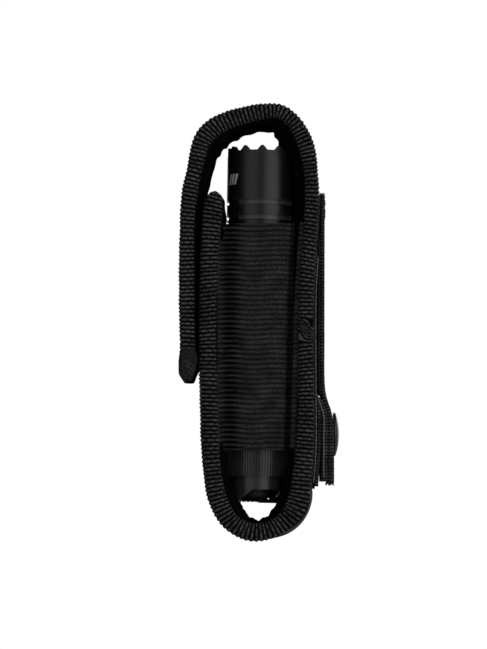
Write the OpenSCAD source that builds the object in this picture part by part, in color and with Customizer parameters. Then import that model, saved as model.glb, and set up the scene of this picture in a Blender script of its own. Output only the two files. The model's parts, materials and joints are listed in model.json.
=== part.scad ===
// Tactical flashlight in a padded belt pouch.
// The flashlight stands head-up between the front and back of one padded strap, which runs up the
// back, over the head and down the front as a hook-and-loop flap. +Z is up, +X is towards the wearer,
// -X is the flap side, and the origin is at the middle of the belt passage.

/* [Pouch] */
// Width of the pouch along the belt
pouch_w = 38; // [36:1:42]
// Middle of the back panel, measured from the belt passage
back_x = -4.9; // [-5.2:0.1:-4.8]
// Distance between the middles of the back and front panels
panel_gap = 37.6; // [37:0.2:40]
// Distance between the middles of the front panel and the flap over it
flap_gap = 8.3; // [8.2:0.1:9.5]
// Height of the middle of the strap over the head
roof_z = 72.8; // [72:0.4:78]
// Depth of the middle of the strap below the belt passage
bend_z = -89.3; // [-96:1:-88]
// Height of the fold line that the flap opens about
fold_z = 57.8; // [56:0.2:58]
// Lower end of the flap
flap_end_z = -31.1; // [-36:1:-28]
// Upper end of the front panel
front_top_z = 41.6; // [38:0.4:42]
// Width of the binding tape on each face of the strap
binding_w = 6; // [5:0.5:7]
// Thickness of the binding tape
binding_t = 0.7; // [0.5:0.1:0.8]
// Thickness of the outer fabric and of the lining
fabric_t = 0.9; // [0.6:0.1:1.2]

/* [Elastic sides] */
// Upper edge of the elastic side panels
elastic_top = 29.5; // [26:0.5:32]
// Lower edge of the elastic side panels
elastic_bottom = -57.9; // [-60:0.5:-50]
// Thickness of the elastic
elastic_t = 1.2; // [0.8:0.1:1.4]

/* [Belt loop] */
// Width of the belt loop webbing
webbing_w = 25; // [20:1:26]
// Thickness of one layer of webbing
webbing_t = 1.6; // [1.2:0.1:1.7]
// Upper end of the belt loop
loop_top = 41; // [40:0.5:42]
// Height that the outer webbing hinges at, below its stitching
loop_hinge_z = 28.9; // [26:0.5:30]
// Diameter of the snap's cap
snap_d = 17; // [14:0.5:18]
// Height of the snap
snap_z = -51.5; // [-53:0.5:-50]

/* [Flashlight] */
// Diameter of the head
head_d = 27; // [26:0.2:27.4]
// Diameter of the body tube
tube_d = 24; // [23:0.2:24.4]
// Diameter of the fluted tail ring
flute_d = 25; // [24.4:0.1:25.2]
// Number of flutes round the tail ring
flutes = 72; // [48:4:84]
// Number of teeth on the bezel
teeth = 12; // [8:1:14]
// Lean of the flashlight in the pouch, in degrees
lean = 1; // [0:0.25:1.25]
// Travel of the tail button
press = 1.8; // [1:0.1:2]

/* [Hidden] */
$fn = 96;

gap = 0.3;            // clearance between pieces that move apart
fit = 0.05;           // clearance of a machined fit
eps = 0.02;           // lets a cut run past a face
wide = 400;           // larger than the whole object

// --- smooth routes -------------------------------------------------------------------------------

// A point on the smooth curve between b and c
function spline(a, b, c, d, t) =
    0.5 * (2 * b + (c - a) * t + (2 * a - 5 * b + 4 * c - d) * t * t
           + (3 * b - a - 3 * c + d) * t * t * t);
// The smooth curve through p, in `steps` pieces between each two points
function smooth(p, steps = 4) = let (n = len(p)) [
    for (i = [0 : n - 2], j = [0 : steps - 1])
        spline(p[max(i - 1, 0)], p[i], p[i + 1], p[min(i + 2, n - 1)], j / steps),
    p[n - 1]
];
// The sideways direction of a route at its point i
function side(p, i) = let (
        d = p[min(i + 1, len(p) - 1)] - p[max(i - 1, 0)],
        n = norm([d[0], d[1]])
    ) [d[1] / n, -d[0] / n];
// One edge of a band along a route. A point's third number is the band's half thickness there;
// keep is the fraction of it that is kept, and grow is added to it.
function band_edge(p, keep, grow) = [
    for (i = [0 : len(p) - 1])
        [p[i][0], p[i][1]] + side(p, i) * (keep * p[i][2] + grow)
];
function backwards(p) = [for (i = [len(p) - 1 : -1 : 0]) p[i]];

// A band between two offsets of a route
module band(p, keep_a, grow_a, keep_b, grow_b) {
    polygon(concat(band_edge(p, keep_a, grow_a), backwards(band_edge(p, keep_b, grow_b))));
}
// A profile in X and Z, made solid between two values of Y
module along_y(y0, y1) {
    translate([0, y1, 0]) rotate([90, 0, 0]) linear_extrude(y1 - y0) children();
}
// A profile in X and Y, made solid between two heights
module along_z(z0, z1) {
    translate([0, 0, z0]) linear_extrude(z1 - z0) children();
}

// --- the strap -----------------------------------------------------------------------------------

front_x = back_x - panel_gap;
flap_x = front_x - flap_gap;
bend_x = (back_x + front_x) / 2;

// Each point is [x, z, half thickness at the bound edge], from the front panel's upper end, down,
// round the bend and up the back, to just past the fold line.
pocket_points = [
    [front_x + 2.8, front_top_z, 2.6], [front_x + 1.7, front_top_z - 8, 3.6],
    [front_x + 0.8, 20, 3.5], [front_x, 0, 3.2], [front_x - 0.1, -20, 3.3],
    [front_x + 0.3, -40, 3.4], [front_x + 1, -60, 3.4], [front_x + 3.2, bend_z + 14.3, 3.5],
    [bend_x - 11.2, bend_z + 5.3, 3.4], [bend_x - 5.3, bend_z + 1, 3.4],
    [bend_x + 1.2, bend_z, 3.3], [bend_x + 7.7, bend_z + 2.3, 3.3],
    [back_x - 5.5, bend_z + 7.3, 3.8], [back_x - 2.8, bend_z + 13.3, 3.9],
    [back_x - 1.6, bend_z + 21.3, 3.6], [back_x - 0.6, -55, 3.4], [back_x - 0.1, -38, 2.9],
    [back_x, 0, 2.8], [back_x + 1.2, 19, 2.6], [back_x + 2.4, 41, 2.5],
    [back_x + 1.9, 50, 2.6], [back_x + 0.7, fold_z, 3], [back_x - 1.5, fold_z + 6, 3]
];
// From below the fold line, over the head and down the front.
flap_points = [
    [back_x + 1.9, 50, 2.6], [back_x + 0.7, fold_z, 3], [back_x - 1.6, fold_z + 6, 2.9],
    [back_x - 4.9, roof_z - 3.8, 2.8], [back_x - 10.3, roof_z, 2.7], [bend_x + 1.7, roof_z - 0.1, 2.8],
    [bend_x - 5.3, roof_z - 1.6, 3.1], [bend_x - 10.8, roof_z - 3.3, 3.3],
    [bend_x - 16.8, roof_z - 6.3, 3.5], [flap_x + 5.6, roof_z - 12, 3.3],
    [flap_x + 3.1, roof_z - 22, 2.9], [flap_x + 1.3, 42, 2.9], [flap_x + 0.2, 30, 2.8],
    [flap_x, 7, 2.9], [flap_x + 0.3, -15, 2.9], [flap_x + 0.8, flap_end_z + 7, 3.8],
    [flap_x + 0.5, flap_end_z, 3.4]
];
pocket_route = smooth(pocket_points);
flap_route = smooth(flap_points);

half_w = pouch_w / 2;
binding_edge = half_w - binding_t;

// Cuts the strap level at the fold line, on the back side only
module below_fold() {
    difference() {
        children();
        translate([bend_x, fold_z - gap / 2]) square(wide);
    }
}
module above_fold() {
    difference() {
        children();
        translate([bend_x, fold_z + gap / 2 - wide]) square(wide);
    }
}
// The fabric on one face of the strap: s = 1 is the outer face, s = -1 the inner face
module face_fabric(p, s) {
    band(p, s, -s * binding_t, s, -s * (binding_t + fabric_t));
}
module core(p) {
    band(p, 1, -binding_t - fabric_t, -1, binding_t + fabric_t);
}
module laminate(p) {
    band(p, 1, -binding_t, -1, binding_t);
}
// The tape folded over one edge of the strap, from y0 inwards to the pouch's side face
module binding(p, s) {
    inner = half_w - binding_w;
    difference() {
        along_y(min(s * inner, s * half_w), max(s * inner, s * half_w)) band(p, 1, 0, -1, 0);
        along_y(-binding_edge, binding_edge) laminate(p);
    }
}
module fold_cut(s) {
    // s = 1 keeps what is above the fold line on the back side, s = -1 what is below
    z0 = s > 0 ? fold_z + gap / 2 - wide : fold_z - gap / 2;
    difference() {
        children();
        translate([bend_x, -wide / 2, z0]) cube([wide, wide, wide]);
    }
}

module pocket_shell() {
    color("#1c1d1f") along_y(-binding_edge, binding_edge) below_fold() face_fabric(pocket_route, 1);
}
module pocket_foam() {
    color("#3a3b3d") along_y(-binding_edge, binding_edge) below_fold() core(pocket_route);
}
module pocket_lining() {
    color("#151617") along_y(-binding_edge, binding_edge) below_fold() face_fabric(pocket_route, -1);
}
module pocket_binding_near() {
    color("#26282a") fold_cut(-1) binding(pocket_route, -1);
}
module pocket_binding_far() {
    color("#26282a") fold_cut(-1) binding(pocket_route, 1);
}
module flap_shell() {
    color("#1c1d1f") along_y(-binding_edge, binding_edge) above_fold() face_fabric(flap_route, 1);
}
module flap_foam() {
    color("#3a3b3d") along_y(-binding_edge, binding_edge) above_fold() core(flap_route);
}
module flap_lining() {
    color("#151617") along_y(-binding_edge, binding_edge) above_fold() face_fabric(flap_route, -1);
}
module flap_binding_near() {
    color("#26282a") fold_cut(1) binding(flap_route, -1);
}
module flap_binding_far() {
    color("#26282a") fold_cut(1) binding(flap_route, 1);
}

// --- hook and loop under the flap ----------------------------------------------------------------

patch_top = 22;
patch_bottom = -18;
patch_w = pouch_w - 2 * binding_w - 2;
loop_patch_t = 1.2;
hook_patch_t = 1.1;

// The part of a band that lies in front of the light, between two heights
module front_stretch(z0, z1) {
    intersection() {
        children();
        translate([-wide, z0]) square([wide + front_x + panel_gap / 2, z1 - z0]);
    }
}
module front_loop_patch() {
    color("#202224") along_y(-patch_w / 2, patch_w / 2) front_stretch(patch_bottom, patch_top)
        band(pocket_route, 1, -binding_t, 1, loop_patch_t - binding_t);
}
module flap_hook_patch() {
    color("#202224") along_y(-patch_w / 2, patch_w / 2) front_stretch(patch_bottom, patch_top)
        band(flap_route, -1, binding_t, -1, binding_t - hook_patch_t);
}

// --- elastic sides -------------------------------------------------------------------------------

// The near panel in X and Y, from inside the front panel's binding to the back panel
elastic_points = [
    [front_x + 1, -half_w + 2.2, elastic_t / 2], [front_x + 7, -half_w + 2.8, elastic_t / 2],
    [front_x + 13, -half_w + 4, elastic_t / 2], [bend_x + 1, -half_w + 4.7, elastic_t / 2],
    [back_x - 10, -half_w + 4.8, elastic_t / 2], [back_x - 4.5, -half_w + 4.2, elastic_t / 2],
    [back_x, -half_w + 2.6, elastic_t / 2]
];
module elastic_panel(s) {
    difference() {
        along_z(elastic_bottom, elastic_top) scale([1, -s]) band(smooth(elastic_points), 1, 0, -1, 0);
        along_y(-half_w - 1, half_w + 1) band(pocket_route, 1, 0, -1, 0);
    }
}
module elastic_near() {
    color("#242628") elastic_panel(-1);
}
module elastic_far() {
    color("#242628") elastic_panel(1);
}

// --- belt loop -----------------------------------------------------------------------------------

loop_bottom = -72;
tape_t = 0.5;
// Inner face of the outer webbing, from its upper end down; it stands out round the snap
outer_webbing_x = 0.9;
snap_bulge = 2.6;
strap_end_z = -70.3;
outer_points = [
    [outer_webbing_x + webbing_t / 2, loop_top, webbing_t / 2],
    [outer_webbing_x + webbing_t / 2 - 0.1, 20, webbing_t / 2],
    [outer_webbing_x + webbing_t / 2 - 0.2, -14, webbing_t / 2],
    [outer_webbing_x + webbing_t / 2, -34, webbing_t / 2],
    [outer_webbing_x + webbing_t / 2 + snap_bulge, snap_z + 7.5, webbing_t / 2],
    [outer_webbing_x + webbing_t / 2 + snap_bulge + 0.4, snap_z, 1.1],
    [outer_webbing_x + webbing_t / 2 + snap_bulge + 0.4, strap_end_z, 1.2]
];
outer_route = smooth(outer_points);
// Play between each half of the snap and the webbing that it clamps
snap_seat = 0.15;
snap_face_x = outer_webbing_x + webbing_t / 2 + snap_bulge + 0.4 + 1.1 + snap_seat;
socket_face_x = snap_face_x - 2.2 - 2 * snap_seat;

// The part of a band that lies behind the light, between two heights
module back_stretch(z0, z1) {
    intersection() {
        children();
        translate([back_x - 5, z0]) square([wide, z1 - z0]);
    }
}
module at_snap(x) {
    translate([x, 0, snap_z]) rotate([0, 90, 0]) children();
}
stud_r = 2.6;
module belt_backing_webbing() {
    color("#222426") difference() {
        along_y(-webbing_w / 2, webbing_w / 2) back_stretch(loop_bottom, loop_top)
            band(pocket_route, 1, -binding_t, 1, -binding_t + webbing_t);
        at_snap(-wide / 2) cylinder(r = stud_r + fit, h = wide);
    }
}
// The thin loop layer faces the belt and stops above the stitched top
module belt_backing_tape() {
    color("#2c2e30") difference() {
        along_y(-webbing_w / 2, webbing_w / 2) back_stretch(loop_bottom, loop_hinge_z - 10)
            band(pocket_route, 1, webbing_t - binding_t, 1, webbing_t - binding_t + tape_t);
        at_snap(-wide / 2) cylinder(r = stud_r + fit, h = wide);
    }
}
module belt_strap_anchor() {
    color("#222426") along_y(-webbing_w / 2, webbing_w / 2)
        back_stretch(loop_hinge_z + gap / 2, loop_top) band(outer_route, 1, 0, -1, 0);
}
// A box of stitches, with a cross row, that holds both webbings to the back panel
module anchor_stitching() {
    thread_r = 0.35;
    z_rows = [loop_hinge_z + 2, loop_top - 2.5];
    y_rows = [-webbing_w / 2 + 3, webbing_w / 2 - 3];
    face_x = outer_webbing_x + webbing_t;
    color("#303234") {
        for (z = z_rows) translate([face_x + thread_r, y_rows[0], z]) rotate([-90, 0, 0])
            cylinder(r = thread_r, h = y_rows[1] - y_rows[0], $fn = 16);
        for (y = y_rows) translate([face_x + thread_r, y, z_rows[0]])
            cylinder(r = thread_r, h = z_rows[1] - z_rows[0], $fn = 16);
    }
}
module snap_stud() {
    base_x = back_x + 2.7;
    post_end = socket_face_x - 0.5;
    color("#3c3d3f") {
        at_snap(base_x + webbing_t + tape_t - 0.4) cylinder(r = 5.6, h = 0.8);
        at_snap(base_x) cylinder(r = stud_r - 0.3, h = post_end - base_x);
        at_snap(post_end - 0.9) cylinder(r = stud_r, h = 0.9);
    }
}
module belt_strap_webbing() {
    color("#222426") difference() {
        along_y(-webbing_w / 2, webbing_w / 2)
            back_stretch(strap_end_z, loop_hinge_z - gap / 2) band(outer_route, 1, 0, -1, 0);
        at_snap(-wide / 2) cylinder(r = 2, h = wide);
    }
}
module belt_strap_tape() {
    color("#2c2e30") along_y(-webbing_w / 2, webbing_w / 2)
        back_stretch(-32, loop_hinge_z - 17) band(outer_route, 1, 0, 1, tape_t);
}
module snap_socket() {
    color("#3c3d3f") difference() {
        union() {
            at_snap(socket_face_x - 1.8) cylinder(r = 6, h = 1.8);
            at_snap(socket_face_x - eps) cylinder(r = 2 - fit, h = snap_face_x - socket_face_x - fit);
        }
        at_snap(socket_face_x - 1.8 - eps) cylinder(r = stud_r + gap, h = 1.6);
    }
}
module snap_cap() {
    dome = 2.3;
    rim = 0.9;
    r = snap_d / 2;
    sphere_r = (r * r + (dome - rim) * (dome - rim)) / (2 * (dome - rim));
    color("#18191a") at_snap(snap_face_x) {
        cylinder(r = r, h = rim);
        translate([0, 0, rim]) intersection() {
            cylinder(r = r, h = dome);
            translate([0, 0, dome - rim - sphere_r]) sphere(r = sphere_r, $fn = 180);
        }
    }
}

// --- flashlight ----------------------------------------------------------------------------------

// Heights along the flashlight's own axis, measured from the level of the belt passage
axis_x = -22.6;
bezel_tip = 60.2;
bezel_valley = 58.4;
bezel_seam = 56.8;
head_shoulder = 39.8;
head_end = 16.7;
tube_front = 26;
tube_tail = -58.5;
cap_top = -49.6;
flute_top = -52.5;
flute_bottom = -67.8;
band_bottom = -72.9;
tail_end = -78.2;

head_r = head_d / 2;
tube_r = tube_d / 2;
flute_r = flute_d / 2;
thread_r = tube_r - 0.8;
bore_r = 9.5;
cell_r = 9.15;
cell_bottom = -51;
cell_length = 65;
neck_r = 10.5;
guard_r = 10.8;
recess_r = 8.5;
tail_turn = 25;       // how far round the tail's cut-outs face from the pouch's side

module in_light() {
    translate([axis_x, 0, 0]) rotate([0, lean, 0]) children();
}
module disc(z0, z1, r) {
    translate([0, 0, z0]) cylinder(r = r, h = z1 - z0);
}
module ring(z0, z1, r_out, r_in) {
    difference() {
        disc(z0, z1, r_out);
        disc(z0 - eps, z1 + eps, r_in);
    }
}
module round_ring(z, r, wire) {
    translate([0, 0, z]) rotate_extrude() translate([r, 0]) circle(r = wire, $fn = 32);
}
// A spring wound from wire, with its coil radius going from r0 to r1
module coil(z0, z1, r0, r1, wire, turns) {
    sides = 8;
    steps = 20 * turns;
    function ring_points(i) = let (
            a = 360 * turns * i / steps,
            r = r0 + (r1 - r0) * i / steps,
            z = z0 + wire + (z1 - z0 - 2 * wire) * i / steps
        ) [
            for (k = [0 : sides - 1]) let (b = 360 * k / sides)
                [(r + wire * cos(b)) * cos(a), (r + wire * cos(b)) * sin(a), z + wire * sin(b)]
        ];
    points = [for (i = [0 : steps]) each ring_points(i)];
    walls = [
        for (i = [0 : steps - 1], k = [0 : sides - 1]) let (n = (k + 1) % sides)
            [i * sides + k, (i + 1) * sides + k, (i + 1) * sides + n, i * sides + n]
    ];
    first_cap = [for (k = [0 : sides - 1]) k];
    last_cap = [for (k = [sides - 1 : -1 : 0]) steps * sides + k];
    polyhedron(points, concat([first_cap], walls, [last_cap]), convexity = 8);
}

bezel_lip_r = 11.3;
bezel_skirt_r = 12.5;
module bezel_ring() {
    tooth_angle = 360 / teeth;
    valley_w = head_d * PI / teeth * 0.42;
    top_w = head_d * PI / teeth * 0.86;
    depth = bezel_tip - bezel_valley;
    color("#2e3032") in_light() difference() {
        union() {
            disc(bezel_seam, bezel_tip, head_r - 0.1);
            disc(bezel_seam - 3, bezel_seam + eps, bezel_skirt_r - fit);
        }
        disc(bezel_seam - 4, bezel_tip + 1, bezel_lip_r);
        disc(bezel_seam - 4, bezel_seam - 0.6, bezel_skirt_r - 0.9);
        for (i = [0 : teeth - 1]) rotate([0, 0, (i + 0.5) * tooth_angle])
            translate([0, 0, bezel_valley]) rotate([90, 0, 90]) linear_extrude(head_d)
                polygon([[-valley_w / 2, 0], [valley_w / 2, 0], [top_w / 2, depth + eps],
                         [-top_w / 2, depth + eps]]);
    }
}
lens_top = bezel_seam - 1.5;
lens_t = 1.6;
module lens() {
    color("#cfe3ea") in_light() disc(lens_top - lens_t, lens_top, bezel_skirt_r - 1.1);
}
module lens_oring() {
    color("#111111") in_light() round_ring(lens_top + 0.4, bezel_lip_r - 0.5, 0.38);
}
reflector_top = lens_top - lens_t - 0.1;
reflector_bottom = 38.4;
reflector_hole_r = 3.2;
reflector_wall = 0.9;
// The reflector's bowl is a parabola from the hole round the emitter to the rim
function bowl_z(r) = reflector_bottom + (reflector_top - reflector_bottom)
    * (r * r - reflector_hole_r * reflector_hole_r)
    / (pow(bezel_lip_r - 0.6, 2) - reflector_hole_r * reflector_hole_r);
module reflector() {
    rim_r = bezel_lip_r - 0.6;
    steps = 12;
    radii = [for (i = [0 : steps]) reflector_hole_r + (rim_r - reflector_hole_r) * i / steps];
    inside = [for (r = radii) [r, bowl_z(r)]];
    outside = [for (i = [steps - 2 : -1 : 0]) [radii[i] + reflector_wall, bowl_z(radii[i])]];
    color("#d9dcde") in_light() rotate_extrude() polygon(concat(
        inside, [[rim_r + 0.6, reflector_top], [rim_r + 0.6, reflector_top - 1.2]], outside
    ));
}
board_bottom = 35.2;
board_top = 36.8;
module centering_gasket() {
    color("#e8e4d8") in_light() ring(board_top, reflector_bottom - fit, 4.4, 2.9);
}
module led_board() {
    color("#b87333") in_light() disc(board_bottom, board_top, 8);
}
module led_emitter() {
    package_w = 3.5;
    color("#f2d96b") in_light() {
        translate([-package_w / 2, -package_w / 2, board_top]) cube([package_w, package_w, 0.8]);
        translate([0, 0, board_top + 0.8]) intersection() {
            sphere(r = 1.5, $fn = 48);
            cylinder(r = 1.6, h = 1.6);
        }
    }
}
// The head: a plain cylinder, then three rings with milled slots between labels, then the neck
slot_arc = 100;
module head_slot(z0, z1) {
    floor_r = head_r - 0.9;
    start = -90 - 40;
    for (i = [0 : 2]) rotate([0, 0, start + 120 * i]) rotate_extrude(angle = slot_arc)
        translate([floor_r, z0]) square([3, z1 - z0]);
}
module head_housing() {
    shelf_bottom = 33;
    color("#232527") in_light() difference() {
        union() {
            disc(head_shoulder, bezel_seam - fit, head_r);
            disc(39.3, 39.8 + eps, head_r - 0.5);
            disc(37.2, 39.3 + eps, head_r);
            disc(36.9, 37.2 + eps, head_r - 0.5);
            disc(34, 36.9 + eps, head_r - 0.1);
            disc(33.6, 34 + eps, head_r - 0.6);
            disc(31.2, 33.6 + eps, head_r - 0.05);
            disc(head_end, 31.2 + eps, head_r - 0.8);
        }
        disc(bezel_seam - 3.2, bezel_tip, bezel_skirt_r);
        disc(board_bottom, bezel_tip, bezel_lip_r);
        disc(head_end - 1, shelf_bottom, 9.9);
        disc(head_end - 1, tube_front + fit, thread_r + fit);
        head_slot(37.4, 39.1);
        head_slot(31.5, 33.3);
        translate([4.5, 0, shelf_bottom - 1]) cylinder(r = 0.9, h = 4);
        translate([-4.5, 0, shelf_bottom - 1]) cylinder(r = 0.9, h = 4);
    }
}
driver_bottom = 28.6;
driver_top = 29.8;
module driver_board() {
    color("#1d5c33") in_light() disc(driver_bottom, driver_top, 9.7);
}
module driver_coil() {
    color("#4a3a2c") in_light() ring(driver_top, driver_top + 2.4, 4, 1.8);
}
module driver_retaining_ring() {
    color("#b9a35a") in_light() ring(driver_bottom - 1.5, driver_bottom, 9.8, 6.6);
}
contact_top = 15.3;
module driver_spring() {
    color("#c9a94f") in_light() coil(contact_top + gap, driver_bottom, 2.4, 4.2, 0.35, 5);
}
module body_tube() {
    groove = 1.1;
    color("#232527") in_light() difference() {
        union() {
            disc(cap_top + gap, head_end - fit, tube_r);
            disc(head_end - fit - eps, tube_front, thread_r);
            disc(tube_tail, cap_top + gap + eps, thread_r);
        }
        disc(tube_tail - 1, tube_front + 1, bore_r);
        ring(head_end + 1, head_end + 1 + groove, thread_r + 1, thread_r - 0.95);
        ring(cap_top - 1 - groove, cap_top - 1, thread_r + 1, thread_r - 0.95);
    }
}
module head_oring() {
    color("#101010") in_light() round_ring(head_end + 1.55, thread_r - 0.5, 0.42);
}
module tail_oring() {
    color("#101010") in_light() round_ring(cap_top - 1.55, thread_r - 0.5, 0.42);
}
module battery_cell() {
    color("#3f6fa3") in_light() disc(cell_bottom, cell_bottom + cell_length, cell_r);
}
module battery_contact() {
    color("#c8ccd0") in_light() disc(cell_bottom + cell_length, contact_top, 3.2);
}

// --- tail ----------------------------------------------------------------------------------------

board_z = -61.8;
switch_bottom = -68.2;
web_top = -69.4;
web_bottom = -71.2;
boot_r = 6;
boot_end = -76.3;
lever_inner = 6.9;
lever_outer = 8;
lever_bay = 5.3;      // half width of the straight bay in the guard behind the lever

// A ring cut with shallow flutes, as a profile
function flute_points(r, count, depth) = [
    for (i = [0 : count - 1], c = [[0.05, 0], [0.5, 0], [0.62, 1], [0.93, 1]])
        let (a = 360 * (i + c[0]) / count) (r - depth * c[1]) * [cos(a), sin(a)]
];
// A cut-out in one side of the tail's guard: level at its top, sloping out to the tail's end
scoop_top = 5.6;
scoop_slope = 0.89;   // how fast each end slopes out, per unit of depth
module scoop() {
    depth = band_bottom - tail_end + 1;
    foot = scoop_top + scoop_slope * depth;
    rotate([90, 0, 0]) translate([0, 0, 3]) linear_extrude(guard_r) polygon([
        [-scoop_top, band_bottom], [scoop_top, band_bottom], [scoop_top + 0.9, band_bottom - 0.5],
        [foot, band_bottom - depth], [-foot, band_bottom - depth],
        [-scoop_top - 0.9, band_bottom - 0.5]
    ]);
}
module tail_shell() {
    difference() {
        union() {
            disc(flute_top, cap_top, flute_r - 0.6);
            along_z(flute_bottom, flute_top) polygon(flute_points(flute_r, flutes, 0.45));
            disc(-70, flute_bottom + eps, neck_r);
            disc(tail_end, -69.9, guard_r);
        }
        disc(-61, cap_top + 1, thread_r + gap / 4);
        disc(web_top, -60, 9.6);
        disc(web_top - 5, web_top + 5, boot_r + gap);
        disc(tail_end - 1, web_bottom, recess_r);
        rotate([0, 0, tail_turn]) {
            scoop();
            translate([-lever_bay, 3, tail_end - 1])
                cube([2 * lever_bay, guard_r, band_bottom - tail_end + 1]);
            translate([-2.3, lever_inner - gap, web_bottom - 1]) cube([4.6, 1.7, 4]);
        }
    }
}
// A solid lug inside the guard, drilled across for a lanyard, with a spot face at each end
lug_w = 5;
lanyard_r = 1.25;
lanyard_x = 8.9;
lanyard_z = -75.4;
module lanyard_lug() {
    intersection() {
        disc(tail_end + gap, web_bottom + 1, guard_r - 0.2);
        translate([boot_r + 2 * gap, -lug_w / 2, tail_end])
            cube([guard_r, lug_w, web_bottom + 1 - tail_end]);
    }
}
module tail_cap() {
    color("#232527") in_light() difference() {
        union() {
            tail_shell();
            rotate([0, 0, tail_turn]) lanyard_lug();
        }
        rotate([0, 0, tail_turn]) translate([lanyard_x, 0, lanyard_z]) rotate([90, 0, 0]) {
            cylinder(r = lanyard_r, h = 2 * guard_r, center = true);
            for (s = [-1, 1]) translate([0, 0, s * (lug_w / 2 + guard_r / 2)])
                cylinder(r = 2.1, h = guard_r, center = true);
        }
    }
}
module switch_retaining_ring() {
    color("#b9a35a") in_light() ring(board_z + 1.3, board_z + 2.8, 9.5, 6.4);
}
module switch_board() {
    color("#1d5c33") in_light() disc(board_z, board_z + 1.2, 9.4);
}
module tail_spring() {
    color("#c9a94f") in_light() coil(board_z + 1.2, cell_bottom - gap, 4.6, 3, 0.4, 5);
}
plunger_r = 2.4;
module switch_housing() {
    color("#2a2a2c") in_light() difference() {
        disc(switch_bottom, board_z, 5.6);
        disc(switch_bottom - 1, switch_bottom + 2 + press + 2 * gap, plunger_r + fit);
    }
}
module boot_clamp_ring() {
    color("#17181a") in_light() ring(web_top, web_top + 1, 9.4, boot_r + gap);
}
boot_wall = 1;
module switch_plunger() {
    color("#b8b4a6") in_light() {
        disc(boot_end + boot_wall + fit, switch_bottom + 2, plunger_r);
        disc(boot_end + boot_wall + fit, boot_end + boot_wall + 1.6, boot_r - boot_wall - 0.4);
    }
}
module rubber_boot() {
    fillet = 1.4;
    top = web_top - 0.8;
    inner = boot_r - boot_wall;
    color("#1a1b1c") in_light() difference() {
        rotate_extrude() union() {
            translate([0, boot_end + fillet]) square([boot_r, top - boot_end - fillet]);
            translate([0, boot_end]) square([boot_r - fillet, fillet + eps]);
            translate([boot_r - fillet, boot_end + fillet]) circle(r = fillet, $fn = 48);
        }
        disc(boot_end + boot_wall, top + 1, inner);
    }
}
module mode_lever() {
    ribs = 5;
    rib_pitch = 1.85;
    pad_top = band_bottom - 0.9;
    pad_bottom = -77.9;
    pad_half = 4.9;
    color("#3b3d3f") in_light() rotate([0, 0, tail_turn]) difference() {
        union() {
            translate([-pad_half, lever_inner, pad_bottom])
                cube([2 * pad_half, lever_outer - lever_inner, pad_top - pad_bottom]);
            translate([-2, lever_inner, pad_top - eps])
                cube([4, lever_outer - lever_inner, web_top - pad_top - 1]);
        }
        for (i = [0 : ribs]) translate([(i - ribs / 2) * rib_pitch, 0, pad_bottom])
            rotate([-90, 0, 0]) cylinder(r = 0.45, h = 20, $fn = 24);
    }
}

pocket_shell();
pocket_foam();
pocket_lining();
pocket_binding_near();
pocket_binding_far();
front_loop_patch();
elastic_near();
elastic_far();
belt_backing_webbing();
belt_backing_tape();
belt_strap_anchor();
anchor_stitching();
snap_stud();
flap_shell();
flap_foam();
flap_lining();
flap_binding_near();
flap_binding_far();
flap_hook_patch();
belt_strap_webbing();
belt_strap_tape();
snap_socket();
snap_cap();
bezel_ring();
lens();
lens_oring();
reflector();
centering_gasket();
led_emitter();
led_board();
head_housing();
driver_board();
driver_coil();
driver_retaining_ring();
driver_spring();
body_tube();
head_oring();
tail_oring();
battery_cell();
battery_contact();
tail_cap();
switch_retaining_ring();
tail_spring();
switch_board();
switch_housing();
boot_clamp_ring();
switch_plunger();
rubber_boot();
mode_lever();
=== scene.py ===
"""The looks of a tactical flashlight in its padded belt pouch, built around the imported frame."""
import json
import math

import bpy
import numpy as np
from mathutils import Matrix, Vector

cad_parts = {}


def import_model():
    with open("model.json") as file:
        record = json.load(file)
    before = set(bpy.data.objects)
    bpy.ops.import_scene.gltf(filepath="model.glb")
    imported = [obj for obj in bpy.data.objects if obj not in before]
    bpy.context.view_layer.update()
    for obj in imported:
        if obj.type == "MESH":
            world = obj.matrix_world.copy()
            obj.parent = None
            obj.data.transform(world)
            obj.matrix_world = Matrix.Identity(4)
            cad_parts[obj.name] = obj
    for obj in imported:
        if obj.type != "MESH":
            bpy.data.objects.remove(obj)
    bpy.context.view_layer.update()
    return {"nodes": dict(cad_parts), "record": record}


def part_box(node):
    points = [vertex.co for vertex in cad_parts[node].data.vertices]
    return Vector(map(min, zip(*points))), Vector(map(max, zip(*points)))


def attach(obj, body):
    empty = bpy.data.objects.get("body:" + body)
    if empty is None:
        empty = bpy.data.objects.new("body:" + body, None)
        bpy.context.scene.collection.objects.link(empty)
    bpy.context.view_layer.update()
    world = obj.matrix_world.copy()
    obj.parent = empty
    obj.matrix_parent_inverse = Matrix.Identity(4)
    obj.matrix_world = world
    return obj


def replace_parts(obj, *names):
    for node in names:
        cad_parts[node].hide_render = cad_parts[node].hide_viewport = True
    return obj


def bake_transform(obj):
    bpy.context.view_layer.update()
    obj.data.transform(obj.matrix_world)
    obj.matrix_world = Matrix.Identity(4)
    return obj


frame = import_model()
scene = bpy.context.scene
random = np.random.default_rng(11)
MM = 0.001

# --- dimensions, in millimetres ---------------------------------------------------------------

near_low, near_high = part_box("pocket_binding_near")
HALF_W = -near_low[1] / MM              # half the pouch's width along the belt
BINDING_W = (near_high[1] - near_low[1]) / MM
TAPE_T = 0.7                            # thickness of the binding tape
BACK_X, FRONT_X, FLAP_X = -4.9, -42.5, -50.8
BEND_X = (BACK_X + FRONT_X) / 2
ROOF_Z, BEND_Z, FOLD_Z = 72.8, -89.3, 57.8
FLAP_END_Z, FRONT_TOP_Z = -31.1, 41.6
RIB = 1.56                              # pitch of the binding's ribs
ELASTIC_RIB = 1.9
WEB_RIB = 1.25
LEAN = math.radians(1)
AXIS_X = -22.6

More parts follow.
